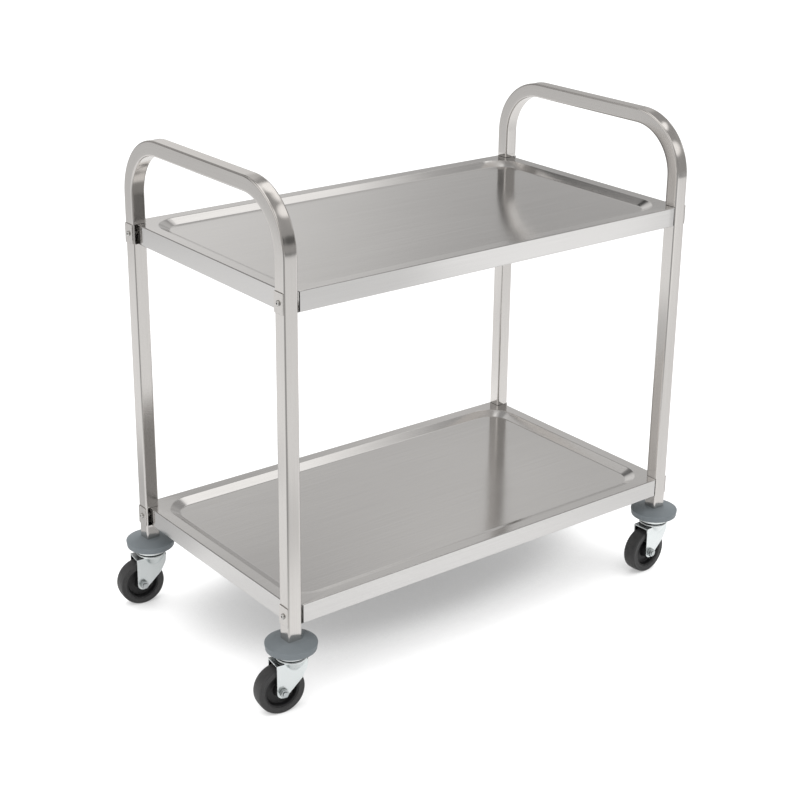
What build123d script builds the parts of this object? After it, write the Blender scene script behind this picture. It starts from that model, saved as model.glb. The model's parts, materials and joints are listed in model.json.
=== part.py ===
from build123d import *
from math import cos, hypot, pi, sin
import os

# Two-tier serving trolley, in millimetres.
# X runs along the shelves, Y across them with the front at -Y, and Z up from the floor.

# Square tube of the two end frames
tube_side = 25.0
tube_wall = 1.2
tube_corner = 3.0
handle_bend = 80.0

# Frame, over the outside faces of its tubes
frame_length = 824.0
frame_width = 462.0
bare_leg = 26.0
shelf_spacing = 507.0
handle_rise = 153.0

# Shelves of folded sheet
sheet = 1.0
skirt_depth = 33.0
sheet_bend = 0.5
return_flange = 12.0
rim_width = 23.0
well_depth = 9.0
well_run = 17.0
well_corner = 50.0
well_top_bend = 4.0
well_floor_bend = 6.0
end_setback = 8.0
corner_gap = 2.1
seat_play = 0.2

# Clamp plates, screws and sleeve nuts at the shelf corners
plate_width = 23.0
plate_height = 33.0
plate_thickness = 1.5
plate_corner = 1.5
screw_diameter = 5.0
screw_head = 9.0
screw_head_height = 2.8
screw_head_round = 2.2
screw_socket = 3.0
screw_socket_depth = 1.7
sleeve_diameter = 9.0
sleeve_flange = 13.0
sleeve_flange_height = 2.0
thread_play = 0.05
hole_play = 0.3

# Wheels
wheel_diameter = 80.0
tyre_width = 25.0
tyre_height = 11.0
tyre_shoulder = 3.0
tyre_lip = 1.0
tyre_side_step = 0.8
rim_band = 3.0
rim_overlap = 1.5
hub_boss = 22.0
hub_web = 5.0
hub_draft = 1.0
axle_diameter = 8.0
axle_nut = 13.0
axle_nut_height = 6.5
axle_head_height = 5.5
axle_end = 2.0
axle_sleeve_diameter = 12.0
running_play = 0.05

# Forks and swivels
trail = 22.0
fork_gap = 28.0
fork_side_play = 0.5
fork_sheet = 2.0
fork_toe = 10.5
wheel_headroom = 6.0
leg_elbow_forward = 11.0
leg_elbow_rise = 17.0
leg_shoulder_forward = 19.0
leg_shoulder_rise = 32.0
leg_back = 24.0
dish_rise = 5.0
dish_radius = 26.0
dish_round = 3.0
dish_foot_radius = 12.0
dish_foot_drop = 22.0
ball_diameter = 6.0
ball_circle = 38.0
ball_count = 8
race_margin = 0.5
housing_sheet = 2.0
housing_radius = 27.0
housing_lip = 3.5
housing_bend = 1.0
housing_cap = 13.0
housing_cap_rise = 2.9
stem_diameter = 10.0
stem_shoulder = 14.0
stem_head = 17.0
stem_head_height = 4.0

# Bumpers and the plugs in the feet of the tubes
bumper_diameter = 84.0
bumper_height = 18.0
bumper_land = 36.0
bumper_drop = 6.0
bumper_edge = 10.5
bumper_edge_round = 1.5
bumper_dome = 0.8
bumper_side_draft = 1.5
bumper_foot_bevel = 3.0
plug_play = 0.1
plug_headroom = 2.0

# How far each castor stands turned about its stem, in degrees
rest_swivel = {"front_left": -8.0, "back_left": -8.0, "front_right": 3.0, "back_right": 0.0}

# Heights above the floor, from the wheel up
axle_height = wheel_diameter / 2
crown_under = wheel_diameter + wheel_headroom
crown_top = crown_under + fork_sheet
race_height = crown_top + dish_rise
upper_race = race_height + ball_diameter + 2 * running_play
housing_top = upper_race + housing_sheet + housing_cap_rise
foot_height = housing_top + bumper_height
lower_rim = foot_height + bare_leg + skirt_depth
upper_rim = lower_rim + shelf_spacing
handle_top = upper_rim + handle_rise
rims = {"upper": upper_rim, "lower": lower_rim}

# The corners: which way each lies from the middle
corners = {"front_left": (-1, -1), "back_left": (-1, 1), "front_right": (1, -1), "back_right": (1, 1)}
post_x = frame_length / 2 - tube_side / 2
post_y = frame_width / 2 - tube_side / 2

# The long skirts are flush with the tubes, and the short ones stand back inside them
shelf_length = frame_length - 2 * end_setback
shelf_width = frame_width

# Two places on a model of this size are the same when they are this close
closeness = 0.01


def along_x(shape):
    """Turns a shape that points up so that it points along +X."""
    return Rot(0, 90, 0) * shape


def along_y(shape):
    """Turns a shape that points up so that it points along +Y."""
    return Rot(-90, 0, 0) * shape


def turned(*points):
    """A solid of revolution about Z from its radius and height points."""
    outline = Plane.XZ * make_face(Polyline(*points, close=True))
    return revolve(outline, Axis.Z, 360)


def circles_of(shape, radius):
    """The shape's circular edges of one radius."""
    circles = shape.edges().filter_by(GeomType.CIRCLE)
    return circles.filter_by(lambda circle: abs(circle.radius - radius) < closeness)


def screw_places(level):
    """Where the screws of one shelf enter, with the side each comes from."""
    height = rims[level] - skirt_depth / 2
    return [(x * frame_length / 2, y * post_y, height, x) for x, y in corners.values()]


def end_frame(side):
    """One square tube, bent into leg, handle and leg, and notched for the shelf corners."""
    x = side * post_x
    centre_top = handle_top - tube_side / 2
    path = FilletPolyline(
        (x, -post_y, foot_height),
        (x, -post_y, centre_top),
        (x, post_y, centre_top),
        (x, post_y, foot_height),
        radius=handle_bend + tube_side / 2,
    )
    bore = tube_side - 2 * tube_wall
    section = RectangleRounded(tube_side, tube_side, tube_corner)
    section -= RectangleRounded(bore, bore, tube_corner - tube_wall)
    tube = sweep(Plane(origin=(x, -post_y, foot_height), z_dir=(0, 0, 1)) * section, path=path)
    for level, rim in rims.items():
        notch_height = skirt_depth + seat_play
        for y in (-1, 1):
            # The tube's end wall and its outer wall stay, and the shelf corner fills the rest.
            deep_x = tube_side - tube_corner
            deep_y = tube_side - tube_wall
            notch = Box(deep_x, deep_y, notch_height)
            middle_x = side * (frame_length / 2 - tube_corner - deep_x / 2)
            middle_y = y * (frame_width / 2 - tube_wall - deep_y / 2)
            middle_z = rim - skirt_depth + notch_height / 2
            tube -= Pos(middle_x, middle_y, middle_z) * notch
        for hole_x, hole_y, hole_z, hole_side in screw_places(level):
            if hole_side == side:
                drill = along_x(Cylinder(screw_diameter / 2 + hole_play, 4 * tube_wall))
                tube -= Pos(hole_x, hole_y, hole_z) * drill
    return tube


def well(height, drop):
    """The tray's hollow as a tapering block with its top at the given height."""
    length = shelf_length - 2 * rim_width
    width = shelf_width - 2 * rim_width
    mouth = Pos(0, 0, height) * RectangleRounded(length, width, well_corner)
    floor_corner = well_corner - well_run
    floor = RectangleRounded(length - 2 * well_run, width - 2 * well_run, floor_corner)
    return loft([mouth, Pos(0, 0, height - drop) * floor], ruled=True)


def lies_on(edge, height, inset):
    """True for an edge of the well's outline at this height, this far in from the skirt."""
    box = edge.bounding_box()
    if abs(box.min.Z - height) > closeness or abs(box.max.Z - height) > closeness:
        return False
    reach_x = shelf_length / 2 - inset
    reach_y = shelf_width / 2 - inset
    inside = box.max.X < reach_x + closeness and box.max.Y < reach_y + closeness
    inside = inside and box.min.X > -reach_x - closeness and box.min.Y > -reach_y - closeness
    middle = edge @ 0.5
    touches = abs(middle.X) > reach_x - well_corner or abs(middle.Y) > reach_y - well_corner
    return inside and touches


def folded_box(length, width, height, bend):
    """A block whose level edges are rounded; the upright ones lie in the tube's notches."""
    block = Box(length, width, height)
    return fillet(block.edges().filter_by(Axis.Z, reverse=True), bend)


def corner_reliefs(rim):
    """Where the long skirts stop short, so that the tube's outer wall passes in front of the rim."""
    inner = frame_length / 2 - tube_side - corner_gap
    length = shelf_length / 2 - inner
    depth = tube_wall + seat_play
    cut = Box(2 * length, 2 * depth, 3 * skirt_depth)
    return [Pos(x * shelf_length / 2, y * shelf_width / 2, rim) * cut for x, y in corners.values()]


def shelf(level):
    """One tray: flat rim, sloping band, sunken floor, skirt and the flange folded under."""
    rim = rims[level]
    walls = 2 * sheet
    block = folded_box(shelf_length, shelf_width, skirt_depth, sheet_bend + sheet)
    block -= folded_box(shelf_length - walls, shelf_width - walls, skirt_depth - walls, sheet_bend)
    block = Pos(0, 0, rim - skirt_depth / 2) * block
    mouth = Box(shelf_length - 2 * return_flange, shelf_width - 2 * return_flange, 4 * sheet)
    block -= Pos(0, 0, rim - skirt_depth) * mouth
    block += well(rim - sheet, well_depth)
    block -= well(rim, well_depth)
    mouth_edges = [e for e in block.edges() if lies_on(e, rim, rim_width)]
    block = fillet(mouth_edges, well_top_bend)
    floor_edges = [e for e in block.edges() if lies_on(e, rim - well_depth, rim_width + well_run)]
    block = fillet(floor_edges, well_floor_bend)
    block -= corner_reliefs(rim)
    for hole_x, hole_y, hole_z, side in screw_places(level):
        drill = along_x(Cylinder(sleeve_diameter / 2 + thread_play, 6 * sheet))
        block -= Pos(side * shelf_length / 2, hole_y, hole_z) * drill
    return block


def clamp_plate(level, corner):
    """The plate that spreads a shelf screw's load over the end face of the tube."""
    x, y = corners[corner]
    flat = RectangleRounded(plate_width, plate_height, plate_corner)
    flat -= Circle(screw_diameter / 2 + hole_play)
    plate = extrude(Plane.YZ * flat, plate_thickness / 2, both=True)
    middle = frame_length / 2 + plate_thickness / 2
    return Pos(x * middle, y * post_y, rims[level] - skirt_depth / 2) * plate


def shelf_screw():
    """A round-head screw pointing down from the underside of its head."""
    length = plate_thickness + end_setback + sheet + sleeve_flange_height
    dome = Pos(0, 0, screw_head_height / 2) * Cylinder(screw_head / 2, screw_head_height)
    dome = fillet(dome.edges().sort_by(Axis.Z)[-1], screw_head_round)
    socket = extrude(RegularPolygon(screw_socket / 2, 6, major_radius=False), screw_head_height)
    dome -= Pos(0, 0, screw_head_height - screw_socket_depth) * socket
    return dome + Pos(0, 0, -length / 2) * Cylinder(screw_diameter / 2, length)


def sleeve_nut():
    """A threaded sleeve from the tube's end wall through the skirt, pointing up to its flange."""
    barrel = end_setback - tube_wall + sheet
    bore = screw_diameter / 2 + thread_play
    return turned(
        (bore, 0),
        (sleeve_diameter / 2, 0),
        (sleeve_diameter / 2, barrel),
        (sleeve_flange / 2, barrel),
        (sleeve_flange / 2, barrel + sleeve_flange_height),
        (bore, barrel + sleeve_flange_height),
    )


def at_shelf_screws(piece, offset, facing):
    """Copies of a piece this far out from all eight screw holes, its +Z facing out (1) or in (-1)."""
    copies = []
    for level in rims:
        for x, y, z, side in screw_places(level):
            place = Pos(x + side * offset, y, z) * Rot(0, 90 * side * facing, 0)
            copies.append(place * piece)
    return Compound(children=copies)


def bumper():
    """The round disc between the castor and the foot of the tube, its top gently domed."""
    radius = bumper_diameter / 2
    land = bumper_land / 2
    bore = stem_diameter / 2 + thread_play
    edge_top = foot_height - bumper_drop
    edge_foot = edge_top - bumper_edge
    # The side draws in a little towards its bevelled foot.
    foot_radius = radius - bumper_side_draft
    sides = Polyline(
        (land, foot_height),
        (bore, foot_height),
        (bore, housing_top),
        (foot_radius - bumper_foot_bevel, housing_top),
        (foot_radius, edge_foot),
        (radius, edge_top),
    )
    middle = ((radius + land) / 2, (edge_top + foot_height) / 2 + bumper_dome)
    crown = ThreePointArc((radius, edge_top), middle, (land, foot_height))
    disc = revolve(Plane.XZ * make_face(sides + crown), Axis.Z, 360)
    near_edge = (edge_top - closeness, edge_top + closeness)
    rim = circles_of(disc, radius).filter_by_position(Axis.Z, *near_edge)
    return fillet(rim, bumper_edge_round)


def stem_insert():
    """The threaded plug in the foot of the tube."""
    side = tube_side - 2 * tube_wall - 2 * plug_play
    plug = RectangleRounded(side, side, tube_corner - tube_wall)
    plug -= Circle(stem_diameter / 2 + thread_play)
    return Pos(0, 0, foot_height) * extrude(plug, bare_leg - plug_headroom)


def stem_bolt():
    """The bolt that the fork turns on, its shoulder hard up against the housing."""
    head_top = race_height - fork_sheet - running_play
    shoulder_top = housing_top - housing_sheet
    head = RegularPolygon(stem_head / 2, 6, major_radius=False)
    bolt = Pos(0, 0, head_top - stem_head_height) * extrude(head, stem_head_height)
    bolt += Pos(0, 0, head_top) * extrude(Circle(stem_shoulder / 2), shoulder_top - head_top)
    shank = foot_height + bare_leg - plug_headroom - shoulder_top
    bolt += Pos(0, 0, shoulder_top) * extrude(Circle(stem_diameter / 2), shank)
    return bolt


def swivel_housing():
    """The pressed cup over the ball race, with its lip round the fork's dish."""
    bore = stem_diameter / 2 + thread_play
    wall = housing_radius - housing_sheet
    race_in = ball_circle / 2 - ball_diameter / 2 - race_margin
    lip_foot = upper_race - housing_lip
    cap_under = housing_top - housing_sheet
    return turned(
        (bore, housing_top),
        (housing_cap, housing_top),
        (race_in + housing_sheet, upper_race + housing_sheet),
        (wall, upper_race + housing_sheet),
        (housing_radius, upper_race),
        (housing_radius, lip_foot),
        (wall, lip_foot),
        (wall, upper_race - housing_bend),
        (wall - housing_bend, upper_race),
        (race_in, upper_race),
        (housing_cap - housing_sheet, cap_under),
        (bore, cap_under),
    )


def swivel_balls():
    """The ring of balls that carries the load from the cup to the fork."""
    height = race_height + ball_diameter / 2 + running_play
    balls = []
    for i in range(ball_count):
        angle = 2 * pi * i / ball_count
        x = ball_circle / 2 * cos(angle)
        y = ball_circle / 2 * sin(angle)
        balls.append(Pos(x, y, height) * Sphere(ball_diameter / 2))
    return Compound(children=balls)


def dish(inset, drop):
    """The round dish on the fork, from its foot up to the race, made smaller by a wall."""
    foot = crown_top - dish_foot_drop
    edge = race_height - dish_round
    top = race_height - drop
    slope = (dish_radius - dish_foot_radius) / (edge - foot)
    radius = dish_foot_radius - inset
    cone = Cone(radius, radius + slope * (top - foot), top - foot)
    return Pos(0, 0, (foot + top) / 2) * cone


def fork():
    """The pressed fork: a flat crown with a round dish, and two tapering legs."""
    half_out = fork_gap / 2 + fork_sheet
    front = trail + fork_toe
    toe = Pos(-trail, axle_height) * Circle(fork_toe)
    back = Polyline(
        (leg_elbow_forward, axle_height + leg_elbow_rise),
        (leg_shoulder_forward, axle_height + leg_shoulder_rise),
        (leg_back, crown_top),
        (-front, crown_top),
    )
    legs = extrude(Plane.XZ * make_hull(toe.edges() + back.edges()), half_out, both=True)
    # Seen from above, the crown is square in front and ends in the dish's circle behind.
    crown = Circle(dish_radius) + Pos(-front / 2, 0) * Rectangle(front, 2 * half_out)
    legs &= extrude(crown, crown_top)
    cup = dish(0, 0)
    cup = fillet(cup.edges().group_by(Axis.Z)[-1], dish_round)
    body = legs + cup
    # The room for the wheel opens forwards and down, and the dish's back wall closes it behind.
    headroom = wheel_diameter / 2 + wheel_headroom
    room = Pos(-front, 0, crown_under - front) * Box(2 * front, fork_gap, 2 * front)
    room += Pos(-trail, 0, axle_height) * along_y(Cylinder(headroom, fork_gap))
    body -= room + dish(fork_sheet * dish_wall_share(), fork_sheet)
    hole = Cylinder(axle_diameter / 2 + running_play, 4 * half_out)
    body -= Pos(-trail, 0, axle_height) * along_y(hole)
    body -= Pos(0, 0, race_height) * Cylinder(stem_shoulder / 2 + running_play, 4 * fork_sheet)
    return body


def dish_wall_share():
    """How much wider than the sheet a level cut through the sloping dish wall is."""
    rise = race_height - dish_round - crown_top + dish_foot_drop
    return hypot(rise, dish_radius - dish_foot_radius) / rise


def axle_bolt():
    """The axle's bolt, head at the back and threaded end at the front."""
    half_out = fork_gap / 2 + fork_sheet
    end = -(half_out + axle_nut_height + axle_end)
    head = extrude(RegularPolygon(axle_nut / 2, 6, major_radius=False), axle_head_height)
    bolt = Pos(0, 0, half_out) * head
    bolt += Pos(0, 0, end) * extrude(Circle(axle_diameter / 2), half_out - end)
    return Pos(-trail, 0, axle_height) * along_y(bolt)


def axle_nut_piece():
    """The nut on the axle's front end."""
    half_out = fork_gap / 2 + fork_sheet
    nut = RegularPolygon(axle_nut / 2, 6, major_radius=False)
    nut -= Circle(axle_diameter / 2 + thread_play)
    nut = Pos(0, 0, -half_out - axle_nut_height) * extrude(nut, axle_nut_height)
    return Pos(-trail, 0, axle_height) * along_y(nut)


def axle_sleeve():
    """The tube between the fork's legs that the hub turns on."""
    ring = Circle(axle_sleeve_diameter / 2) - Circle(axle_diameter / 2 + thread_play)
    sleeve = extrude(ring, fork_gap / 2, both=True)
    return Pos(-trail, 0, axle_height) * along_y(sleeve)


def mirrored_ring(*points):
    """A ring about the axle from one half of its section, as radius and distance from the middle."""
    other = [(radius, -across) for radius, across in reversed(points) if across > 0]
    ring = turned(*points, *other)
    return Pos(-trail, 0, axle_height) * along_y(ring)


def wheel_hub():
    """The hub: boss, thin web and the band under the tyre."""
    bore = axle_sleeve_diameter / 2 + running_play
    outside = wheel_diameter / 2 - tyre_height
    boss = fork_gap / 2 - fork_side_play
    band = tyre_width / 2 - rim_overlap
    return mirrored_ring(
        (bore, boss),
        (hub_boss / 2, boss),
        (hub_boss / 2 + hub_draft, hub_web / 2),
        (outside - rim_band - hub_draft, hub_web / 2),
        (outside - rim_band, band),
        (outside, band),
    )


def tyre():
    """The tyre, with rounded shoulders and a flat ring on each side."""
    radius = wheel_diameter / 2
    seat = radius - tyre_height
    half = tyre_width / 2
    ring = mirrored_ring(
        (seat, half - tyre_side_step),
        (seat + tyre_lip, half - tyre_side_step),
        (seat + 2 * tyre_lip, half),
        (radius, half),
    )
    return fillet(circles_of(ring, radius), tyre_shoulder)


def castor_place(corner):
    """A corner's place for what doesn't turn, and for what stands turned about the stem."""
    x, y = corners[corner]
    still = Pos(x * post_x, y * post_y, 0)
    return still, still * Rot(0, 0, rest_swivel[corner])


parts = {
    "left_end_frame": end_frame(-1),
    "right_end_frame": end_frame(1),
    "upper_shelf": shelf("upper"),
    "lower_shelf": shelf("lower"),
    "shelf_screws": at_shelf_screws(shelf_screw(), plate_thickness, 1),
    "shelf_sleeve_nuts": at_shelf_screws(sleeve_nut(), -tube_wall, -1),
}
for level in rims:
    for corner in corners:
        parts[f"{level}_{corner}_clamp_plate"] = clamp_plate(level, corner)

still_pieces = {
    "bumper": bumper(),
    "stem_insert": stem_insert(),
    "stem_bolt": stem_bolt(),
    "swivel_housing": swivel_housing(),
}
turning_pieces = {
    "swivel_balls": swivel_balls(),
    "fork": fork(),
    "axle_bolt": axle_bolt(),
    "axle_nut": axle_nut_piece(),
    "axle_sleeve": axle_sleeve(),
    "wheel_hub": wheel_hub(),
    "tyre": tyre(),
}
for corner in corners:
    still, turned_place = castor_place(corner)
    for name, piece in still_pieces.items():
        parts[f"{corner}_{name}"] = still * piece
    for name, piece in turning_pieces.items():
        parts[f"{corner}_{name}"] = turned_place * piece

# The origin lies on the floor, in the middle of what the trolley covers with its castors trailing.
boxes = [piece.bounding_box() for piece in parts.values()]
middle_x = round((min(box.min.X for box in boxes) + max(box.max.X for box in boxes)) / 2, 1)
middle_y = round((min(box.min.Y for box in boxes) + max(box.max.Y for box in boxes)) / 2, 1)

os.makedirs("parts", exist_ok=True)
for name, piece in parts.items():
    export_step(Pos(-middle_x, -middle_y, 0) * piece, f"parts/{name}.step")
    print(name, round(piece.volume), "cubic mm")
print("moved along x by", round(-middle_x, 4), "and along y by", round(-middle_y, 4))
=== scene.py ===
import json
import math
import bmesh
import bpy
import numpy as np
from mathutils import Matrix, Vector


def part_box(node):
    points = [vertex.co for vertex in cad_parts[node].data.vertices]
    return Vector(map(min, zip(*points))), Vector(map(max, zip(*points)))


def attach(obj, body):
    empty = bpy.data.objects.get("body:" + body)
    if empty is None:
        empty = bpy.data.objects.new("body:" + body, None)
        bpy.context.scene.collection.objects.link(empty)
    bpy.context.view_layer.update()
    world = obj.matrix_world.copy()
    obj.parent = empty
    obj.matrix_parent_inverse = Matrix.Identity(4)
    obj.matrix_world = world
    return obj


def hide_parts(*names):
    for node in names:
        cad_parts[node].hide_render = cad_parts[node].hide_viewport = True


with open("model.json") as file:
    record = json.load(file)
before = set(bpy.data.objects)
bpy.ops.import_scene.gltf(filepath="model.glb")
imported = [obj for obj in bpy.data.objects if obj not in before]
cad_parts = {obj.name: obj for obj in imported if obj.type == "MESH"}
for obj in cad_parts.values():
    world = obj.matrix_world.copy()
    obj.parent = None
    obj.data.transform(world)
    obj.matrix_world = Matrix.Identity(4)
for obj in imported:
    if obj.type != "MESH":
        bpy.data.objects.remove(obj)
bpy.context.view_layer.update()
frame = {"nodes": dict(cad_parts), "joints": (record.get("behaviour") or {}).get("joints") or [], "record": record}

bodyOf = {node: body for body, nodes in frame["record"]["behaviour"]["bodies"].items() for node in nodes}
joints = {joint["name"]: joint for joint in frame["joints"]}
shelfBoxes = {level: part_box(level + "_shelf") for level in ("lower", "upper")}
cornerNames = ("front_left", "back_left", "front_right", "back_right")
mm = 0.001
hair = 1e-6  # in metres: points that lie closer than this are one place
quarterTurn = math.pi / 2


# Small tools for meshes

def gridFaces(rows, columns):
    # Quads between neighbouring points of a grid whose last column meets its first, as point numbers.
    # The second result holds each corner's row and column, counted on past the seam.
    row, column = (a.ravel() for a in np.meshgrid(np.arange(rows - 1), np.arange(columns), indexing="ij"))
    corners = np.stack([np.stack([row, row, row + 1, row + 1], 1),
                        np.stack([column, column + 1, column + 1, column], 1)], 2)
    return corners[:, :, 0] * columns + corners[:, :, 1] % columns, corners


def newPiece(name, points, faces, uv=None):
    mesh = bpy.data.meshes.new(name)
    mesh.from_pydata(points.reshape(-1, 3).tolist(), [], faces.tolist())
    if uv is not None:
        layer = mesh.uv_layers.new(name="along")
        layer.data.foreach_set("uv", uv.astype(np.float32).ravel())
    mesh.validate()
    piece = bpy.data.objects.new(name, mesh)
    bpy.context.scene.collection.objects.link(piece)
    return piece


def faceOutwards(piece, mergeWithin=0.0):
    work = bmesh.new()
    work.from_mesh(piece.data)
    if mergeWithin:
        bmesh.ops.remove_doubles(work, verts=work.verts, dist=mergeWithin)
    bmesh.ops.recalc_face_normals(work, faces=work.faces)
    work.to_mesh(piece.data)
    work.free()


def smooth(piece, angle=32):
    piece.data.shade_smooth()
    piece.data.set_sharp_from_angle(angle=math.radians(angle))


def keepFlatsFlat(piece):
    normals = piece.modifiers.new("flat faces stay flat", "WEIGHTED_NORMAL")
    normals.keep_sharp = True


def giveWall(piece, name, thickness):
    wall = piece.modifiers.new(name, "SOLIDIFY")
    wall.thickness, wall.offset = thickness, -1
    return wall


def standFor(piece, node, material):
    # The piece takes the CAD node's body, finish slot and place in the picture.
    piece.data.materials.clear()
    piece.data.materials.append(material)
    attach(piece, bodyOf[node])
    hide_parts(node)


def dress(node, material):
    # A CAD node whose shape is right keeps its mesh and gets a better material.
    data = frame["nodes"][node].data
    data.materials.clear()
    data.materials.append(material)


def turnedSurface(profile, sectors):
    # Each profile point (radius, height) goes round the Z axis at equal angles.
    angle = np.linspace(0, 2 * math.pi, sectors, endpoint=False)
    radius, height = np.asarray(profile, float).T
    points = np.stack([radius[:, None] * np.cos(angle), radius[:, None] * np.sin(angle),
                       height[:, None] + 0 * angle], 2)
    return points, gridFaces(len(profile), sectors)[0]


def joinArcs(arcs, steps):
    # A closed outline: each arc, then even steps to where the next one starts.
    share = np.linspace(0, 1, steps + 1)[1:-1, None]
    return np.concatenate([part for arc, following in zip(arcs, arcs[1:] + arcs[:1])
                           for part in (arc, arc[-1] * (1 - share) + following[0] * share)])


rounding = {"straight": 0.02, "mostOfSide": 0.48}


def softCorners(points, radii, steps=5):
    # A closed outline with each corner rounded: an arc of the given radius that touches both sides.
    # A corner that is nearly straight stays, and an arc takes under half of each side.
    points = np.asarray(points, float)
    out = []
    for i, (corner, radius) in enumerate(zip(points, radii)):
        before = points[i - 1] - corner
        after = points[(i + 1) % len(points)] - corner
        lengths = np.linalg.norm(before), np.linalg.norm(after)
        before, after = before / lengths[0], after / lengths[1]
        half = math.acos(np.clip(before @ after, -1, 1)) / 2
        if radius <= 0 or half > quarterTurn - rounding["straight"]:
            out.append(corner[None])
            continue
        reach = min(radius / math.tan(half), rounding["mostOfSide"] * min(lengths))
        radius = reach * math.tan(half)
        middle = corner + (before + after) / np.linalg.norm(before + after) * radius / math.sin(half)
        start, end = corner + before * reach - middle, corner + after * reach - middle
        sweep = math.pi - 2 * half
        share = np.linspace(0, 1, steps + 1)[:, None]
        arc = (np.sin((1 - share) * sweep) * start + np.sin(share * sweep) * end) / math.sin(sweep)
        out.append(middle + arc)
    return np.concatenate(out)


# Shader nodes

numberSocket, vectorSocket, colorSocket = "NodeSocketFloat", "NodeSocketVector", "NodeSocketColor"
finishOutputs = [("Color", colorSocket), ("Roughness", numberSocket), ("Height", numberSocket)]


def addNode(tree, kind, inputs=None, **settings):
    node = tree.nodes.new(kind)
    for key, value in settings.items():
        setattr(node, key, value)
    for key, value in (inputs or {}).items():
        if isinstance(value, bpy.types.NodeSocket):
            tree.links.new(value, node.inputs[key])
        else:
            node.inputs[key].default_value = value
    return node


def calc(tree, operation, *values):
    return addNode(tree, "ShaderNodeMath", dict(enumerate(values)), operation=operation).outputs[0]


def vectorCalc(tree, operation, *values):
    # A length or a dot product gives a number, and the rest give a vector.
    node = addNode(tree, "ShaderNodeVectorMath", dict(enumerate(values)), operation=operation)
    return node.outputs["Value" if operation in ("LENGTH", "DOT_PRODUCT") else "Vector"]


def remap(tree, value, start, end, low=0.0, high=1.0, soft=False):
    # Takes start to low and end to high, and holds the value there.
    return addNode(tree, "ShaderNodeMapRange", {
        "Value": value, "From Min": start, "From Max": end, "To Min": low, "To Max": high},
        interpolation_type="SMOOTHSTEP" if soft else "LINEAR").outputs["Result"]


def mixColors(tree, share, first, second):
    return addNode(tree, "ShaderNodeMix", {"Factor": share, 6: first, 7: second},
                   data_type="RGBA").outputs[2]


def noise(tree, at, scale, detail, roughness=0.5):
    return addNode(tree, "ShaderNodeTexNoise", {
        "Vector": at, "Scale": scale, "Detail": detail, "Roughness": roughness}).outputs["Fac"]


def newGroup(name, inputs, outputs):
    group = bpy.data.node_groups.new(name, "ShaderNodeTree")
    for key, kind, value in inputs:
        socket = group.interface.new_socket(key, in_out="INPUT", socket_type=kind)
        socket.default_value = value
    for key, kind in outputs:
        group.interface.new_socket(key, in_out="OUTPUT", socket_type=kind)
    return group, addNode(group, "NodeGroupInput").outputs, addNode(group, "NodeGroupOutput")


def putOut(group, end, values):
    for key, value in values.items():
        group.links.new(value, end.inputs[key])


def brushedGroup():
    # A fine noise stretched along the grain, and a broad, unstretched one for wiping marks.
    group, given, end = newGroup("brushed grain", [
        ("Along the grain", vectorSocket, (0, 0, 0)), ("Stretch", vectorSocket, (4, 400, 400)),
        ("Color A", colorSocket, (0.5, 0.5, 0.5, 1)), ("Color B", colorSocket, (0.6, 0.6, 0.6, 1)),
        ("Roughness", numberSocket, 0.2), ("Roughness spread", numberSocket, 0.06)], finishOutputs)
    at = given["Along the grain"]
    fine = noise(group, vectorCalc(group, "MULTIPLY", at, given["Stretch"]), scale=1.0, detail=3.0)
    wiped = remap(group, noise(group, at, scale=5.5, detail=2.0, roughness=0.4), start=0.35, end=0.7)
    uneven = calc(group, "ADD", fine, wiped)
    putOut(group, end, {
        "Color": mixColors(group, fine, given["Color A"], given["Color B"]),
        "Roughness": calc(group, "MULTIPLY_ADD", uneven, given["Roughness spread"], given["Roughness"]),
        "Height": fine})
    return group


def speckGroup():
    # Moulded and plated skins: a fine grain for the bump and a broad one that shades the colour.
    group, given, end = newGroup("moulded skin", [
        ("Color A", colorSocket, (0.1, 0.1, 0.1, 1)), ("Color B", colorSocket, (0.2, 0.2, 0.2, 1)),
        ("Grain", numberSocket, 900.0), ("Patches", numberSocket, 25.0),
        ("Roughness", numberSocket, 0.5), ("Roughness spread", numberSocket, 0.1)], finishOutputs)
    at = addNode(group, "ShaderNodeTexCoord").outputs["Object"]
    broad = noise(group, at, given["Patches"], detail=4.0)
    putOut(group, end, {
        "Color": mixColors(group, broad, given["Color A"], given["Color B"]),
        "Roughness": calc(group, "MULTIPLY_ADD", broad, given["Roughness spread"], given["Roughness"]),
        "Height": noise(group, at, given["Grain"], detail=2.0)})
    return group


def creviceGroup():
    # Painted shade: where little of the room is seen, the colour fades towards dark.
    group, given, end = newGroup("crevice painted shade", [
        ("Color", colorSocket, (0.5, 0.5, 0.5, 1)), ("Reach", numberSocket, 0.012),
        ("Left over", numberSocket, 0.2)], [("Color", colorSocket)])
    seen = addNode(group, "ShaderNodeAmbientOcclusion", {"Distance": given["Reach"]}, samples=8).outputs["AO"]
    unshadedShare = remap(group, seen, start=0.25, end=0.7, low=given["Left over"])
    darkened = addNode(group, "ShaderNodeVectorMath", {0: given["Color"], "Scale": unshadedShare}, operation="SCALE")
    putOut(group, end, {"Color": darkened.outputs["Vector"]})
    return group


brushed = brushedGroup()
skin = speckGroup()
crevice = creviceGroup()


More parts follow.
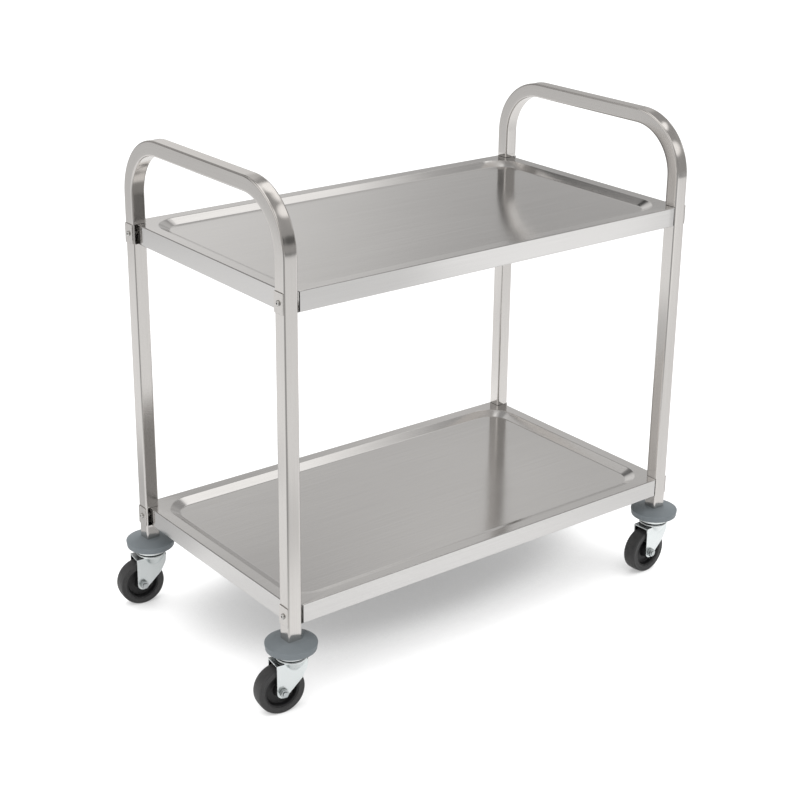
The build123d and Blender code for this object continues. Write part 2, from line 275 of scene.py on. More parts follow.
def newMaterial(name, group, values, metallic, bump, source=None, paintedShade=None, **shaderValues):
    # The brushed group takes its grain from the piece's UV map or from Object coordinates.
    # The painted crevice shade is given as how far it reaches, in metres, and how much of the colour it leaves.
    material = bpy.data.materials.new(name)
    material.use_nodes = True
    tree = material.node_tree
    shader = tree.nodes["Principled BSDF"]
    look = addNode(tree, "ShaderNodeGroup", node_tree=group)
    for key, value in values.items():
        look.inputs[key].default_value = (*value, 1) if key.startswith("Color") else value
    if source == "along":
        tree.links.new(addNode(tree, "ShaderNodeUVMap", uv_map="along").outputs["UV"], look.inputs[0])
    elif source == "object":
        tree.links.new(addNode(tree, "ShaderNodeTexCoord").outputs["Object"], look.inputs[0])
    relief = addNode(tree, "ShaderNodeBump", {
        "Height": look.outputs["Height"], "Strength": 1.0, "Distance": bump})
    color = look.outputs["Color"]
    # Painted shade: the base colour darkens in crevices, where little of the room is seen.
    if paintedShade:
        reach, leftOver = paintedShade
        color = addNode(tree, "ShaderNodeGroup", {"Color": color, "Reach": reach, "Left over": leftOver},
                        node_tree=crevice).outputs["Color"]
    tree.links.new(color, shader.inputs["Base Color"])
    tree.links.new(look.outputs["Roughness"], shader.inputs["Roughness"])
    tree.links.new(relief.outputs["Normal"], shader.inputs["Normal"])
    shader.inputs["Metallic"].default_value = metallic
    for key, value in shaderValues.items():
        shader.inputs[key].default_value = value
    return material


steelA, steelB = (0.66, 0.635, 0.61), (0.74, 0.72, 0.70)
tubeSteel = newMaterial("polished tube", brushed, {
    "Stretch": (6, 500, 500), "Color A": steelA, "Color B": steelB,
    "Roughness": 0.10, "Roughness spread": 0.04}, metallic=1.0, bump=2.0e-6, source="along")
tubeInside = newMaterial("inside of the tube", brushed, {
    "Stretch": (6, 300, 300), "Color A": (0.70, 0.67, 0.64), "Color B": (0.84, 0.82, 0.79),
    "Roughness": 0.5, "Roughness spread": 0.08}, metallic=0.2, bump=2.0e-6, source="along")
sheetSteel = newMaterial("satin sheet", brushed, {
    "Stretch": (5, 350, 350), "Color A": (0.64, 0.63, 0.62), "Color B": (0.73, 0.72, 0.71),
    "Roughness": 0.10, "Roughness spread": 0.04}, metallic=1.0, bump=2.5e-6, source="object")
skirtEndSteel = newMaterial("folded end of a skirt", brushed, {
    "Stretch": (300, 300, 8), "Color A": (0.50, 0.47, 0.43), "Color B": (0.84, 0.80, 0.76),
    "Roughness": 0.45, "Roughness spread": 0.08}, metallic=0.2, bump=2.0e-6, source="object")
plateSteel = newMaterial("plate steel", brushed, {
    "Stretch": (600, 600, 20), "Color A": steelA, "Color B": steelB,
    "Roughness": 0.2, "Roughness spread": 0.05}, metallic=1.0, bump=2.0e-6, source="object")
# Screws, bright zinc and turned zinc steel get painted shade in their crevices.
screwSteel = newMaterial("screw steel", skin, {
    "Color A": (0.6, 0.59, 0.57), "Color B": (0.72, 0.71, 0.69), "Grain": 1500.0, "Patches": 200.0,
    "Roughness": 0.18, "Roughness spread": 0.1}, metallic=1.0, bump=2.0e-6, paintedShade=(0.003, 0.15))
zincSteel = newMaterial("bright zinc", skin, {
    "Color A": (0.80, 0.85, 0.85), "Color B": (0.88, 0.91, 0.91), "Grain": 1200.0, "Patches": 60.0,
    "Roughness": 0.20, "Roughness spread": 0.10}, metallic=1.0, bump=4.0e-6, paintedShade=(0.022, 0.10))
axleSteel = newMaterial("turned zinc steel", skin, {
    "Color A": (0.50, 0.54, 0.55), "Color B": (0.68, 0.70, 0.70), "Grain": 1500.0, "Patches": 120.0,
    "Roughness": 0.25, "Roughness spread": 0.1}, metallic=1.0, bump=4.0e-6, paintedShade=(0.004, 0.2))
ballSteel = newMaterial("ball steel", skin, {
    "Color A": (0.7, 0.7, 0.7), "Color B": (0.78, 0.78, 0.78), "Grain": 500.0, "Patches": 50.0,
    "Roughness": 0.08, "Roughness spread": 0.04}, metallic=1.0, bump=0.0)
bumperRubber = newMaterial("blue-grey rubber", skin, {
    "Color A": (0.225, 0.255, 0.275), "Color B": (0.285, 0.315, 0.335), "Grain": 1400.0, "Patches": 40.0,
    "Roughness": 0.42, "Roughness spread": 0.12}, metallic=0.0, bump=1.2e-5, **{"Specular IOR Level": 0.35})
plugPlastic = newMaterial("plug plastic", skin, {
    "Color A": (0.02, 0.02, 0.022), "Color B": (0.035, 0.035, 0.037), "Grain": 900.0, "Patches": 60.0,
    "Roughness": 0.5, "Roughness spread": 0.1}, metallic=0.0, bump=1.0e-5)
# The hub and the tyre get painted shade in their crevices.
hubPlastic = newMaterial("black hub", skin, {
    "Color A": (0.010, 0.010, 0.011), "Color B": (0.022, 0.022, 0.023), "Grain": 900.0, "Patches": 60.0,
    "Roughness": 0.38, "Roughness spread": 0.15}, metallic=0.0, bump=1.0e-5, paintedShade=(0.012, 0.3))
tyreRubber = newMaterial("dark grey tyre", skin, {
    "Color A": (0.036, 0.036, 0.038), "Color B": (0.070, 0.069, 0.068), "Grain": 700.0, "Patches": 90.0,
    "Roughness": 0.36, "Roughness spread": 0.2}, metallic=0.0, bump=2.0e-5, paintedShade=(0.004, 0.3))
print("materials made:", len(bpy.data.materials))


# End frames: one square tube each, bent into leg, handle and leg

tube = {"wall": 1.2 * mm, "corner": 3.0 * mm, "cornerSteps": 6, "flatSteps": 8, "bendInside": 80 * mm,
        "bendSteps": 44, "legSteps": 6, "gripSteps": 8, "bendDip": 0.7 * mm, "innerRise": 0.5,
        "bendSwell": 0.25 * mm, "bendFade": 0.8, "wallFrom": 0.45, "notchClearance": 0.3 * mm}


def tubeSection(side):
    # The rounded square, clockwise from one end of the outer wall: a quarter circle at each corner, even
    # steps between. The second result is the length so far at each point, and last the whole way round.
    straight, corner = side / 2 - tube["corner"], tube["corner"]
    arcs = []
    for quarter, signs in enumerate(((1, 1), (1, -1), (-1, -1), (-1, 1))):
        turn = quarterTurn * (1 - quarter) - np.linspace(0, quarterTurn, tube["cornerSteps"] + 1)
        arcs.append(straight * np.array(signs) + corner * np.stack([np.cos(turn), np.sin(turn)], 1))
    ring = joinArcs(arcs, tube["flatSteps"])
    steps = np.linalg.norm(np.diff(np.vstack([ring, ring[:1]]), axis=0), axis=1)
    return ring, np.concatenate([[0], np.cumsum(steps)])


def tubeLine(legZ, straightTop, reach, bend):
    # The tube's middle line in the Y-Z plane: leg, quarter turn, grip, quarter turn, leg. With it come
    # its outward direction and how bent it is, the sine of twice the angle turned, to a power: 0 at a
    # bend's ends and 1 in its middle.
    turn = np.linspace(0, quarterTurn, tube["bendSteps"] + 1)
    half = np.concatenate([
        np.stack([0 * legZ - reach, legZ], 1),
        np.stack([-reach + bend * (1 - np.cos(turn)), straightTop + bend * np.sin(turn)], 1)])
    outward = np.concatenate([np.tile([-1.0, 0.0], (len(legZ), 1)),
                              np.stack([-np.cos(turn), np.sin(turn)], 1)])
    inBend = (turn > 0) * (turn < quarterTurn)
    bent = np.concatenate([0 * legZ, np.sin(2 * turn) ** tube["bendFade"] * inBend])
    gripY = np.linspace(half[-1, 0], -half[-1, 0], tube["gripSteps"] + 1)[1:-1]
    grip = np.stack([gripY, 0 * gripY + half[-1, 1]], 1)
    line = np.concatenate([half, grip, half[::-1] * [-1, 1]])
    outward = np.concatenate([outward, np.tile([0.0, 1.0], (len(gripY), 1)), outward[::-1] * [-1, 1]])
    return line, outward, np.concatenate([bent, 0 * gripY, bent[::-1]])


def tubeBulge(ring, side):
    # Each section point's part in a bend, a parabola across its wall: the outer wall dips, the inner
    # wall rises and the cheeks swell.
    across, outer = ring.T
    wall = side * tube["wallFrom"]
    overWidth, overHeight = (np.clip(1 - (place / (side / 2)) ** 2, 0, 1) for place in (across, outer))
    return (overWidth * (outer > wall), overWidth * (outer < -wall),
            overHeight * np.sign(across) * (np.abs(across) > wall))


def endFrame(node):
    # Each section point is carried along the middle line, square to it, and pushed by the bend.
    low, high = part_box(node)
    side = high.x - low.x
    middleX = (low.x + high.x) / 2
    outwards = 1 if middleX > 0 else -1
    bend = tube["bendInside"] + side / 2
    reach = (high.y - low.y) / 2 - side / 2
    straightTop = high.z - side / 2 - bend
    # Every edge of the shelf notches is a row of its own in the legs.
    cuts = [(shelfLow.z, shelfHigh.z + tube["notchClearance"]) for shelfLow, shelfHigh in shelfBoxes.values()]
    stops = sorted({low.z, straightTop, *[z for cut in cuts for z in cut]})
    legZ = np.concatenate([np.linspace(foot, top, tube["legSteps"], endpoint=False)
                           for foot, top in zip(stops, stops[1:])])
    line, outward, bent = tubeLine(legZ, straightTop, reach, bend)
    along = np.concatenate([[0], np.cumsum(np.linalg.norm(np.diff(line, axis=0), axis=1))])
    ring, around = tubeSection(side)
    dip, rise, swell = tubeBulge(ring, side)
    bent = bent[:, None]
    across = ring[:, 0] + tube["bendSwell"] * bent * swell
    outer = ring[:, 1] - tube["bendDip"] * bent * dip + tube["innerRise"] * tube["bendDip"] * bent * rise
    points = np.stack([middleX + across, line[:, None, 0] + outer * outward[:, None, 0],
                       line[:, None, 1] + outer * outward[:, None, 1]], 2)
    faces, corners = gridFaces(len(line), len(ring))
    uv = np.stack([along[corners[:, :, 0]], around[corners[:, :, 1]]], 2)
    # In a notch only the end wall and the outer wall stay.
    centre = points.reshape(-1, 3)[faces].mean(1)
    inCut = np.zeros(len(faces), bool)
    for foot, top in cuts:
        inCut |= (centre[:, 2] > foot) & (centre[:, 2] < top) & (centre[:, 2] < straightTop)
    fromEnd = side / 2 - outwards * (centre[:, 0] - middleX)
    fromOutside = reach + side / 2 - np.abs(centre[:, 1])
    keep = ~inCut | (fromEnd < tube["corner"]) | (fromOutside < tube["wall"])
    piece = newPiece(node + "_tube", points, faces[keep], uv[keep])
    faceOutwards(piece)
    smooth(piece)
    giveWall(piece, "wall", tube["wall"]).material_offset = 1
    keepFlatsFlat(piece)
    standFor(piece, node, tubeSteel)
    piece.data.materials.append(tubeInside)


for node in ("left_end_frame", "right_end_frame"):
    endFrame(node)
print("end frames bent")


# Shelves: a pressed tray with a flat rim, a sloping band, a skirt and a flange folded under

tray = {"sheet": 1.0 * mm, "fold": 1.5 * mm, "flange": 12 * mm, "rim": 20 * mm, "rimDip": 0.7 * mm,
        "bandRun": 17.5 * mm, "depth": 9 * mm, "floorEdge": 20 * mm, "mouthCorner": 53.5 * mm,
        "mouthBend": 5 * mm, "floorBend": 7 * mm, "bendSteps": 6, "cornerGap": 1.8 * mm, "tab": 12 * mm,
        "postWall": 1.5 * mm, "cornerSteps": 18, "sideSteps": 26, "floorRings": 14, "sag": 0.5 * mm}


def roundedRing(halfX, halfY, corner):
    # A rounded rectangle seen from above: each corner an arc, each side evenly divided.
    turn = np.linspace(0, quarterTurn, tray["cornerSteps"] + 1)
    arcs = [np.array([sx * (halfX - corner), sy * (halfY - corner)])
            + corner * np.stack([np.cos(turn + k * quarterTurn), np.sin(turn + k * quarterTurn)], 1)
            for k, (sx, sy) in enumerate(((1, 1), (-1, 1), (-1, -1), (1, -1)))]
    return joinArcs(arcs, tray["sideSteps"])


def trayProfile(height):
    # (distance in from the skirt, height over the rim) from the folded flange out, up and into the well.
    # The last two points only close the outline for its rounding, and are left off.
    bandFoot = tray["rim"] + tray["bandRun"]
    floorStart = bandFoot + tray["floorEdge"]
    chain = [(tray["flange"], -height), (0, -height), (0, 0), (tray["rim"], -tray["rimDip"]),
             (bandFoot, -tray["depth"]), (floorStart, -tray["depth"]),
             (floorStart, -2 * height), (tray["flange"], -2 * height)]
    bends = [0, tray["fold"], tray["fold"], tray["mouthBend"], tray["floorBend"], 0, 0, 0]
    return softCorners(chain, bends, tray["bendSteps"])[:-2]


def cutCorners(piece, middle, halfY):
    # The long skirts stop a small gap before the posts and turn in there, and the rim and the end skirts
    # stop inside the posts' outer walls.
    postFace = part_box("left_end_frame")[1].x
    start = middle.x - postFace - tray["cornerGap"]
    work = bmesh.new()
    work.from_mesh(piece.data)
    for side in (-1, 1):
        skirts = [face for face in work.faces
                  if abs(face.calc_center_median().y - middle.y) > halfY - 2 * tray["fold"]]
        edges = {edge for face in skirts for edge in face.edges}
        points = {point for face in skirts for point in face.verts}
        bmesh.ops.bisect_plane(work, geom=[*points, *edges, *skirts], dist=hair, plane_no=(side, 0, 0),
                               plane_co=(middle.x + side * start, 0, 0))
    inPost = [face for face in work.faces
              if abs(face.calc_center_median().x - middle.x) > start
              and abs(face.calc_center_median().y - middle.y) > halfY - tray["fold"] - hair]
    bmesh.ops.delete(work, geom=inPost, context="FACES")
    skirtEnds = [edge for edge in work.edges if edge.is_boundary
                 and all(abs(abs(point.co.x - middle.x) - start) < 10 * hair
                         and abs(point.co.y - middle.y) > halfY - 10 * hair for point in edge.verts)]
    turned = bmesh.ops.extrude_edge_only(work, edges=skirtEnds)["geom"]
    for point in (item for item in turned if isinstance(item, bmesh.types.BMVert)):
        point.co.y -= math.copysign(tray["tab"], point.co.y - middle.y)
    work.normal_update()
    for face in (item for item in turned if isinstance(item, bmesh.types.BMFace)):
        face.material_index = 1
        if face.normal.x * (face.calc_center_median().x - middle.x) < 0:
            face.normal_flip()
    bmesh.ops.split_edges(work, edges=skirtEnds)
    for point in work.verts:
        past = abs(point.co.y - middle.y) - (halfY - tray["postWall"])
        if past > 0 and abs(point.co.x - middle.x) > start + 10 * hair:
            point.co.y -= math.copysign(past, point.co.y - middle.y)
    work.to_mesh(piece.data)
    work.free()


def shelf(level):
    # Each profile point becomes a rounded rectangle, drawn in from the skirt by its first number.
    node = level + "_shelf"
    low, high = shelfBoxes[level]
    middle = (low + high) / 2
    halfX, halfY = (high.x - low.x) / 2, (high.y - low.y) / 2
    rings = []
    for inset, rise in trayProfile(high.z - low.z):
        # The well's corners keep one centre all the way down, and the skirt's are sharp.
        inWell = inset > tray["rim"] - tray["mouthBend"] and rise > -2 * tray["depth"]
        corner = tray["mouthCorner"] + tray["rim"] - inset if inWell else 0
        flat = roundedRing(halfX - inset, halfY - inset, corner)
        rings.append(np.column_stack([flat, 0 * flat[:, 0] + high.z + rise]))
    # The floor goes on inwards in shrinking rings, and sags by the full sag times (1 - share squared)
    # squared.
    edge = rings[-1]
    for share in np.linspace(1, 0, tray["floorRings"] + 1)[1:]:
        ring = edge * [share, share, 1]
        ring[:, 2] -= tray["sag"] * (1 - share ** 2) ** 2
        rings.append(ring)
    points = np.stack(rings) + [middle.x, middle.y, 0]
    piece = newPiece(node + "_tray", points, gridFaces(len(rings), points.shape[1])[0])
    faceOutwards(piece, mergeWithin=hair)
    if piece.data.polygons[-1].normal.z < 0:  # the last face is in the floor, which faces up
        piece.data.flip_normals()
    cutCorners(piece, middle, halfY)
    smooth(piece)
    giveWall(piece, "sheet", tray["sheet"])
    keepFlatsFlat(piece)
    standFor(piece, node, sheetSteel)
    piece.data.materials.append(skirtEndSteel)


for level in shelfBoxes:
    shelf(level)
print("shelves pressed")


# Castors, with the outlines of their turned pieces in millimetres

castor = {"sectors": 96, "smoothAngle": 40}


def castorPlace(corner):
    # Where the swivel axis meets the floor, turned the way the castor stands.
    x, y, _ = joints[corner + "_swivel"]["pos_m"]
    axle = joints[corner + "_roll"]["axis"]
    return Matrix.Translation((x, y, 0)) @ Matrix.Rotation(math.atan2(-axle[0], axle[1]), 4, "Z")


def turnedPiece(name, outline, place):
    points, faces = turnedSurface(np.vstack([outline, outline[:1]]), castor["sectors"])
    piece = newPiece(name, points, faces)
    faceOutwards(piece, mergeWithin=hair / 10)
    piece.data.transform(place)
    smooth(piece, castor["smoothAngle"])
    keepFlatsFlat(piece)
    return piece


def mirrorHalf(half):
    # The outline of a wheel piece from its half on one side of the middle plane.
    half = np.asarray(half, float)
    return np.vstack([half, half[::-1] * [1, -1]])


tyre = {"tread": 40.0, "treadHalf": 5.0, "treadEdge": 39.5, "edgeHalf": 10.3, "shoulder": 38.5,
        "halfWidth": 12.5, "ring": (31.8, 32.4, 36.2, 36.8), "ringDish": 0.35, "bead": (30.1, 30.8),
        "beadHalf": 11.7, "seat": 29.0, "rounds": [0.2, 0.4, 0.5, 0.4, 0.4, 0.4, 0.4, 1.6, 2.0, 3.0]}


def tyreOutline():
    # (radius, distance from the middle plane) from the seat on the hub out to the tread: the bead, a side
    # with a shallow ring pressed into it, the shoulder and the crowned tread.
    t = tyre
    side, dished = t["halfWidth"], t["halfWidth"] - t["ringDish"]
    half = [(t["seat"], t["beadHalf"]), (t["bead"][0], t["beadHalf"]), (t["bead"][1], side),
            (t["ring"][0], side), (t["ring"][1], dished), (t["ring"][2], dished), (t["ring"][3], side),
            (t["shoulder"], side), (t["treadEdge"], t["edgeHalf"]), (t["tread"], t["treadHalf"])]
    return softCorners(mirrorHalf(half), t["rounds"] + t["rounds"][::-1], steps=4) * mm


hub = {"bore": 6.05, "boss": 11.0, "bossHalf": 13.5, "webStart": 12.4, "webEnd": 24.8, "webHalf": 2.5,
       "bandIn": 26.0, "bandStep": 9.5, "bandTop": 27.0, "bandHalf": 11.0,
       "rounds": [0.3, 0.6, 1.5, 2.0, 1.0, 0.5, 0.2]}


def hubOutline():
    # (radius, distance from the middle plane) from the bore out: the boss, the thin web and the band
    # that the tyre sits on.
    h = hub
    half = [(h["bore"], h["bossHalf"]), (h["boss"], h["bossHalf"]), (h["webStart"], h["webHalf"]),
            (h["webEnd"], h["webHalf"]), (h["bandIn"], h["bandStep"]), (h["bandTop"], h["bandHalf"]),
            (tyre["seat"], h["bandHalf"])]
    return softCorners(mirrorHalf(half), h["rounds"] + h["rounds"][::-1], steps=4) * mm


bumper = {"radius": 42.0, "land": 18.0, "domeRise": 6.0, "dome": 0.8, "domeSteps": 11, "edgeFoot": 105.5,
          "bevel": 1.5, "foot": 104.0, "top": 122.0, "bore": 5.05, "footRounds": [0.8, 1.0], "edgeRound": 1.5}


def bumperOutline():
    # (radius, height) round the disc: bore, foot, bevelled edge, and a crown that is a straight slope
    # from the edge up to the land with a parabola added to it.
    b = bumper
    share = np.linspace(0, 1, b["domeSteps"] + 1)[1:-1, None]
    edge, land = np.array([b["radius"], b["top"] - b["domeRise"]]), np.array([b["land"], b["top"]])
    slope = edge * (1 - share) + land * share
    crown = slope + np.column_stack([0 * share, 4 * b["dome"] * share * (1 - share)])
    outline = np.vstack([[b["bore"], b["top"]], [b["bore"], b["foot"]],
                         [b["radius"] - 3 * b["bevel"], b["foot"]], [b["radius"] - b["bevel"], b["edgeFoot"]],
                         edge, crown, land])
    radii = [0, 0, *b["footRounds"], b["edgeRound"]] + [0] * (len(crown) + 1)
    return softCorners(outline, radii) * mm


housing = {"bore": 5.05, "cap": 13.0, "raceIn": 15.5, "wall": 25.0, "radius": 27.0, "top": 104.0,
           "race": 99.1, "sheet": 2.0, "lipFoot": 95.6,
           "rounds": [0, 0, 1, 1, 0.8, 0.3, 0.5, 2.2, 1.2, 1.2]}


def housingOutline():
    # (radius, height) of the pressed cup: under its cap, along the ball race and down the lip's inside,
    # then back up its outside and over the cap.
    h = housing
    capUnder, raceTop = h["top"] - h["sheet"], h["race"] + h["sheet"]
    outline = [(h["bore"], h["top"]), (h["bore"], capUnder), (h["cap"] - h["sheet"], capUnder),
               (h["raceIn"], h["race"]), (h["wall"], h["race"]), (h["wall"], h["lipFoot"]),
               (h["radius"], h["lipFoot"]), (h["radius"], raceTop), (h["raceIn"] + h["sheet"], raceTop),
               (h["cap"], h["top"])]
    return softCorners(outline, h["rounds"]) * mm


softened = {"weld": 2e-5, "flat": 0.6, "edgeAngle": 28, "segments": 2, "smoothAngle": 30,
            "fork": 0.35 * mm, "axle": 0.3 * mm, "plate": 0.3 * mm, "screws": 0.15 * mm}


def softenedCopy(node, width, material):
    # The CAD solid with its points merged, its flat faces joined and its edges broken.
    mesh = frame["nodes"][node].data.copy()
    piece = bpy.data.objects.new(node + "_finished", mesh)
    bpy.context.scene.collection.objects.link(piece)
    work = bmesh.new()
    work.from_mesh(mesh)
    bmesh.ops.remove_doubles(work, verts=work.verts, dist=softened["weld"])
    bmesh.ops.recalc_face_normals(work, faces=work.faces)
    bmesh.ops.dissolve_limit(work, angle_limit=math.radians(softened["flat"]), verts=work.verts,
                             edges=work.edges)
    work.to_mesh(mesh)
    work.free()
    edge = piece.modifiers.new("broken edges", "BEVEL")
    edge.width, edge.segments = width, softened["segments"]
    edge.limit_method, edge.angle_limit = "ANGLE", math.radians(softened["edgeAngle"])
    edge.harden_normals = False
    smooth(piece, softened["smoothAngle"])
    keepFlatsFlat(piece)
    standFor(piece, node, material)


def standCastor(corner):
    place = castorPlace(corner)
    swivelAt, axleAt = (Vector(joints[f"{corner}_{name}"]["pos_m"]) for name in ("swivel", "roll"))
    trail = (axleAt - swivelAt).to_2d().length
    alongAxle = Matrix.Rotation(-quarterTurn, 4, "X")
    axle = place @ Matrix.Translation((-trail, 0, axleAt.z)) @ alongAxle
    for name, outline, at, node, material in (
            ("tread", tyreOutline, axle, "tyre", tyreRubber),
            ("hub", hubOutline, axle, "wheel_hub", hubPlastic),
            ("bumper_disc", bumperOutline, place, "bumper", bumperRubber),
            ("ball_cup", housingOutline, place, "swivel_housing", zincSteel)):
        standFor(turnedPiece(f"{corner}_{name}", outline(), at), f"{corner}_{node}", material)
    softenedCopy(corner + "_fork", softened["fork"], zincSteel)
    for name in ("axle_nut", "axle_bolt"):
        softenedCopy(f"{corner}_{name}", softened["axle"], axleSteel)
    for name, material in (("axle_sleeve", axleSteel), ("stem_bolt", axleSteel),
                           ("stem_insert", plugPlastic), ("swivel_balls", ballSteel)):
        dress(f"{corner}_{name}", material)


for corner in cornerNames:
    standCastor(corner)
print("castors turned")


# Clamp plates, screws and nuts at the shelf corners

for level in shelfBoxes:
    for corner in cornerNames:
        softenedCopy(f"{level}_{corner}_clamp_plate", softened["plate"], plateSteel)
softenedCopy("shelf_screws", softened["screws"], screwSteel)
dress("shelf_sleeve_nuts", screwSteel)
print("fasteners placed")


# Floor, world, lamps and camera

# The flags and the shine are wedges of the floor that only the steel sees, each round a compass angle.
# Sideways they fade between the inner and outer degrees, and lengthways they come in from near to far,
# or go out where near is the larger.
studio = {
    "floorSize": 14.0, "floorRoughness": 0.7, "floorSpecular": 0.1, "floorColor": (0.88, 0.88, 0.88, 1),
    "seenColor": (0.30, 0.30, 0.30, 1), "flagColor": (0.02, 0.02, 0.02, 1), "roomTint": (1.0, 0.985, 0.97, 1),
    "worldDiffuse": 0.70, "steelGlow": 0.36, "farGlow": 0.16, "glowNear": 0.45, "glowFar": 0.80,
    "shade": {"reach": 0.5, "deep": 0.15, "end": 0.62, "least": 0.38, "middle": (0.01, 0.06),
              "half": (0.43, 0.20), "inner": 0.7, "outer": 1.15, "middleGain": 0.70},
    "shine": {"compass": 139, "inner": 4, "outer": 11, "near": 1.4, "far": 2.3, "gain": 0.32},
    "flags": [
        {"compass": -142, "inner": 28, "outer": 48, "near": 0.45, "far": 1.1, "gain": 0.6},
        {"compass": -38, "inner": 10, "outer": 26, "near": 1.3, "far": 0.9, "gain": 0.38},
        {"compass": -36, "inner": 12, "outer": 30, "near": 2.2, "far": 3.0, "gain": 0.22},
        {"compass": 150, "inner": 25, "outer": 48, "near": 0.5, "far": 1.0, "gain": 0.08},
        {"compass": 136, "inner": 12, "outer": 28, "near": 3.6, "far": 4.6, "gain": 0.85},
    ]}
white = (1, 1, 1, 1)


def towards(compass, height=0.0):
    # A direction from its compass angle, from +Y towards +X, and its height angle.
    a, e = math.radians(compass), math.radians(height)
    return math.sin(a) * math.cos(e), math.cos(a) * math.cos(e), math.sin(e)


def withinAngle(tree, direction, middle, inner, outer, gain=1.0):
    # The gain within the inner angle of a direction, fading to nothing at the outer one.
    nearness = vectorCalc(tree, "DOT_PRODUCT", direction, middle)
    cosines = (math.cos(math.radians(angle)) for angle in (outer, inner))
    return remap(tree, nearness, *cosines, high=gain, soft=True)


def floorWedge(tree, at, glossy, look):
    heading = vectorCalc(tree, "NORMALIZE", at)
    wide = withinAngle(tree, heading, towards(look["compass"]), look["inner"], look["outer"])
    deep = remap(tree, vectorCalc(tree, "LENGTH", at), look["near"], look["far"], soft=True)
    inSteel = calc(tree, "MULTIPLY", calc(tree, "MULTIPLY", wide, deep), glossy)
    return calc(tree, "MULTIPLY", inSteel, look["gain"])


def floorShade(tree, at, sky):
    # Soft shade close to the trolley, deeper in an oval under the lower shelf.
    shade = studio["shade"]
    nearby = remap(tree, sky, shade["deep"], shade["end"], low=shade["least"])
    fromMiddle = vectorCalc(tree, "SUBTRACT", at, (*shade["middle"], 0))
    oval = vectorCalc(tree, "LENGTH", vectorCalc(tree, "DIVIDE", fromMiddle, (*shade["half"], 1)))
    under = remap(tree, oval, shade["inner"], shade["outer"], low=shade["middleGain"], soft=True)
    return calc(tree, "MULTIPLY", nearby, under)


def whiteFloor():
    # The camera sees white with the trolley's shade. The steel sees a glow that falls off, with the
    # flags and the shine in it.
    half = studio["floorSize"] / 2
    points = np.array([[-half, -half, 0], [half, -half, 0], [half, half, 0], [-half, half, 0]])
    floor = newPiece("studio_floor", points, np.array([[0, 1, 2, 3]]))
    material = bpy.data.materials.new("white floor")
    material.use_nodes = True
    tree = material.node_tree
    shader = tree.nodes["Principled BSDF"]
    shader.inputs["Roughness"].default_value = studio["floorRoughness"]
    shader.inputs["Specular IOR Level"].default_value = studio["floorSpecular"]
    path = addNode(tree, "ShaderNodeLightPath").outputs
    camera, glossy = path["Is Camera Ray"], path["Is Glossy Ray"]
    at = addNode(tree, "ShaderNodeTexCoord").outputs["Object"]
    sky = addNode(tree, "ShaderNodeAmbientOcclusion", {"Distance": studio["shade"]["reach"]},
                  samples=16).outputs["AO"]
    shown = calc(tree, "MULTIPLY", floorShade(tree, at, sky), camera)
    flagged = 0.0
    for flag in studio["flags"]:
        flagged = calc(tree, "MAXIMUM", flagged, floorWedge(tree, at, glossy, flag))
    lit = mixColors(tree, flagged, studio["floorColor"], studio["flagColor"])
    color = mixColors(tree, camera, lit, studio["seenColor"])
    openToSky = calc(tree, "MULTIPLY", calc(tree, "SUBTRACT", glossy, flagged), sky)
    glow = remap(tree, vectorCalc(tree, "LENGTH", at), studio["glowNear"], studio["glowFar"],
                 studio["steelGlow"], studio["farGlow"], soft=True)
    shone = calc(tree, "ADD", floorWedge(tree, at, glossy, studio["shine"]), shown)
    strength = calc(tree, "MULTIPLY_ADD", openToSky, glow, shone)
    tree.links.new(color, shader.inputs["Base Color"])
    shader.inputs["Emission Color"].default_value = white
    tree.links.new(strength, shader.inputs["Emission Strength"])
    floor.data.materials.append(material)


# What the steel mirrors: soft patches of light or shade round the room.
# Each has a compass angle, a height angle, its inner and outer size in degrees, and its gain.
surroundings = {"base": 0.36, "least": 0.03, "most": 1.25, "patches": [
    (22, 13, 5, 21, 0.44),
    (14, 38, 5, 10, -0.15),
    (24, 36, 3, 8, -0.18),
    (37, 27, 3, 9, 0.09),
    (46, 29, 4, 12, 0.22),
    (50, 14, 4, 12, 0.08),
    (43, 6, 4, 10, 0.10),
    (55, 60, 9, 14, 0.85),
    (56, 46, 3, 6, 0.50),
    (90, 78, 14, 24, 0.89),
    (88, 40, 3, 8, 0.90),
    (121, 24, 5, 12, 0.80),
    (135, 51, 6, 13, 0.75),
    (148, 11, 4, 8, -0.27),
    (168, 50, 8, 16, 0.50),
    (5, 50, 5, 9, 0.34),
    (-38, 14, 4, 8, -0.24),
    (-58, 14, 9, 15, 0.35),
    (-85, 37, 26, 46, 0.45),
    (-117, 16, 5, 20, 0.15),
    (180, 45, 16, 34, 0.12),
]}


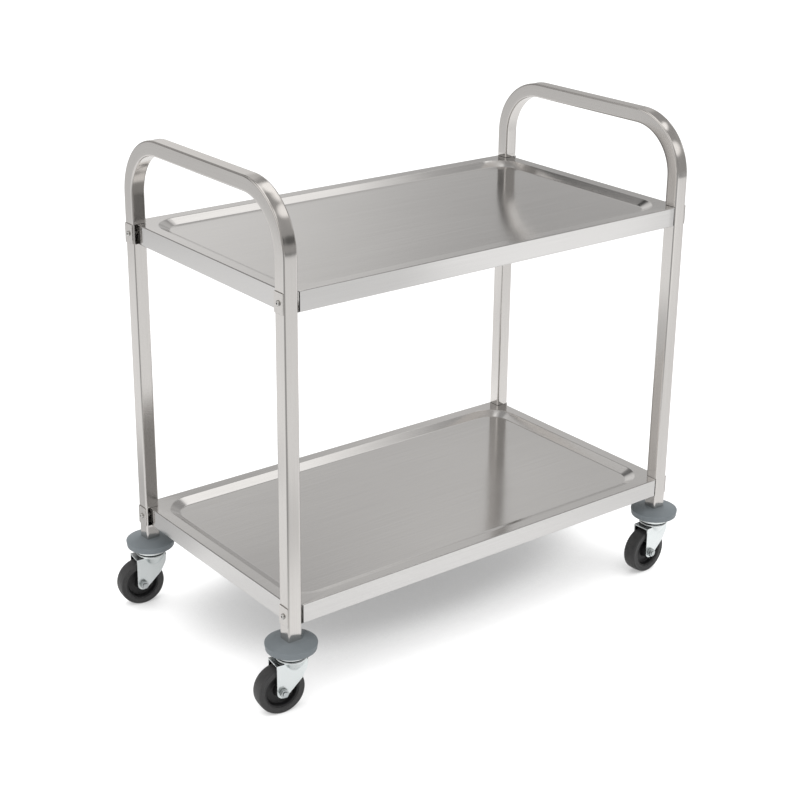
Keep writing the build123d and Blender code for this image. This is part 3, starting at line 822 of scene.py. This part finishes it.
def studioWorld():
    world = bpy.data.worlds.new("studio")
    bpy.context.scene.world = world
    world.use_nodes = True
    tree = world.node_tree
    tree.nodes.clear()
    direction = addNode(tree, "ShaderNodeTexCoord").outputs["Generated"]
    level = surroundings["base"]
    for compass, height, inner, outer, gain in surroundings["patches"]:
        patch = withinAngle(tree, direction, towards(compass, height), inner, outer, gain)
        level = calc(tree, "ADD", patch, level)
    level = calc(tree, "MINIMUM", calc(tree, "MAXIMUM", level, surroundings["least"]), surroundings["most"])
    inSteel, onObject, behind = (
        addNode(tree, "ShaderNodeBackground", {"Color": color, "Strength": strength}).outputs[0]
        for color, strength in ((studio["roomTint"], level), (white, studio["worldDiffuse"]), (white, 1.0)))
    path = addNode(tree, "ShaderNodeLightPath").outputs
    lit = addNode(tree, "ShaderNodeMixShader", {0: path["Is Glossy Ray"], 1: onObject, 2: inSteel})
    shown = addNode(tree, "ShaderNodeMixShader", {0: path["Is Camera Ray"], 1: lit.outputs[0], 2: behind})
    addNode(tree, "ShaderNodeOutputWorld", {"Surface": shown.outputs[0]})


lamps = {
    "top softbox": {"at": (0.9, 0.6, 2.9), "aim": (0, 0, 0.3), "size": (2.4, 1.8), "power": 26},
    "side softbox": {"at": (-2.6, -1.6, 1.9), "aim": (0, 0, 0.5), "size": (1.6, 1.6), "power": 12},
}


def lamp(name, look):
    data = bpy.data.lights.new(name, "AREA")
    data.shape, (data.size, data.size_y) = "RECTANGLE", look["size"]
    data.energy = look["power"]
    light = bpy.data.objects.new(name, data)
    light.location = look["at"]
    aim = Vector(look["aim"]) - Vector(look["at"])
    light.rotation_euler = aim.to_track_quat("-Z", "Y").to_euler()
    light.visible_glossy = False  # the steel mirrors no lamp
    bpy.context.scene.collection.objects.link(light)


photoView = {"azimuth": -37.87, "elevation": 20.28, "roll": 0.64, "distance": 2.858, "lens": 74.39,
             "sensor": 36.0, "clip": (0.05, 60), "target": (0.0074, 0.0234, 0.438),
             "shift": (-0.0006, -0.0619)}


def photoCamera():
    v = photoView
    data = bpy.data.cameras.new("photo view")
    data.sensor_width, data.lens = v["sensor"], v["lens"]
    data.shift_x, data.shift_y = v["shift"]
    data.clip_start, data.clip_end = v["clip"]
    camera = bpy.data.objects.new("photo view", data)
    bpy.context.scene.collection.objects.link(camera)
    a, e = math.radians(v["azimuth"]), math.radians(v["elevation"])
    back = Vector((math.sin(a) * math.cos(e), -math.cos(a) * math.cos(e), math.sin(e)))
    turn = (-back).to_track_quat("-Z", "Y").to_matrix().to_4x4()
    at = Vector(v["target"]) + back * v["distance"]
    camera.matrix_world = Matrix.Translation(at) @ turn @ Matrix.Rotation(math.radians(v["roll"]), 4, "Z")
    bpy.context.scene.camera = camera


whiteFloor()
studioWorld()
for name, look in lamps.items():
    lamp(name, look)
photoCamera()
bpy.context.scene.view_settings.view_transform = "Standard"
print("studio ready")
